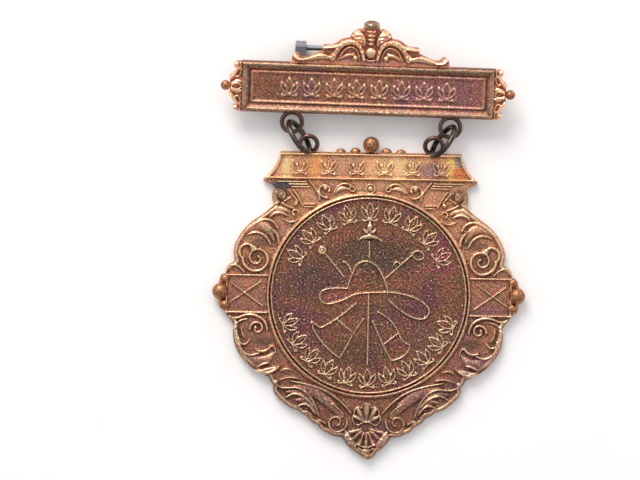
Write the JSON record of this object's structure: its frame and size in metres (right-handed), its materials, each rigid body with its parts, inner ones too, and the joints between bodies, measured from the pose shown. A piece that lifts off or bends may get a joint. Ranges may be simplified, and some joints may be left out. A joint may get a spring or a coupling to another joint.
{
  "type": "firefighter badge",
  "caption": "Two-part metal badge: a pin bar with a scrolled crest and a shield-shaped medallion pendant hanging on jump rings, lying face up.",
  "frame": {"origin": "on the surface that the badge lies on, under the centre of the pendant's medallion", "axes": "X to the right along the bar, Y up the badge from the pendant to the bar, Z out of its face"},
  "size_m": [0.042, 0.0589, 0.0067],
  "materials": {
    "aged_brass": "aged",
    "dark_wire": "oxidised",
    "pin_steel": "dull"
  },
  "bodies": {
    "badge": {"top_bar": "aged_brass", "pendant": "aged_brass", "jump_ring_left": "dark_wire", "jump_ring_right": "dark_wire", "hinge_rivet": "pin_steel"},
    "pin": {"pin_stem": "pin_steel"}
  },
  "joints": [
    {"name": "pin_hinge", "type": "hinge", "parent": "badge", "child": "pin", "pos_m": [-0.0097, 0.03328, 0.00116], "axis": [0.0169, 0.9701, 0.2419], "range_deg": [0, 80]}
  ]
}
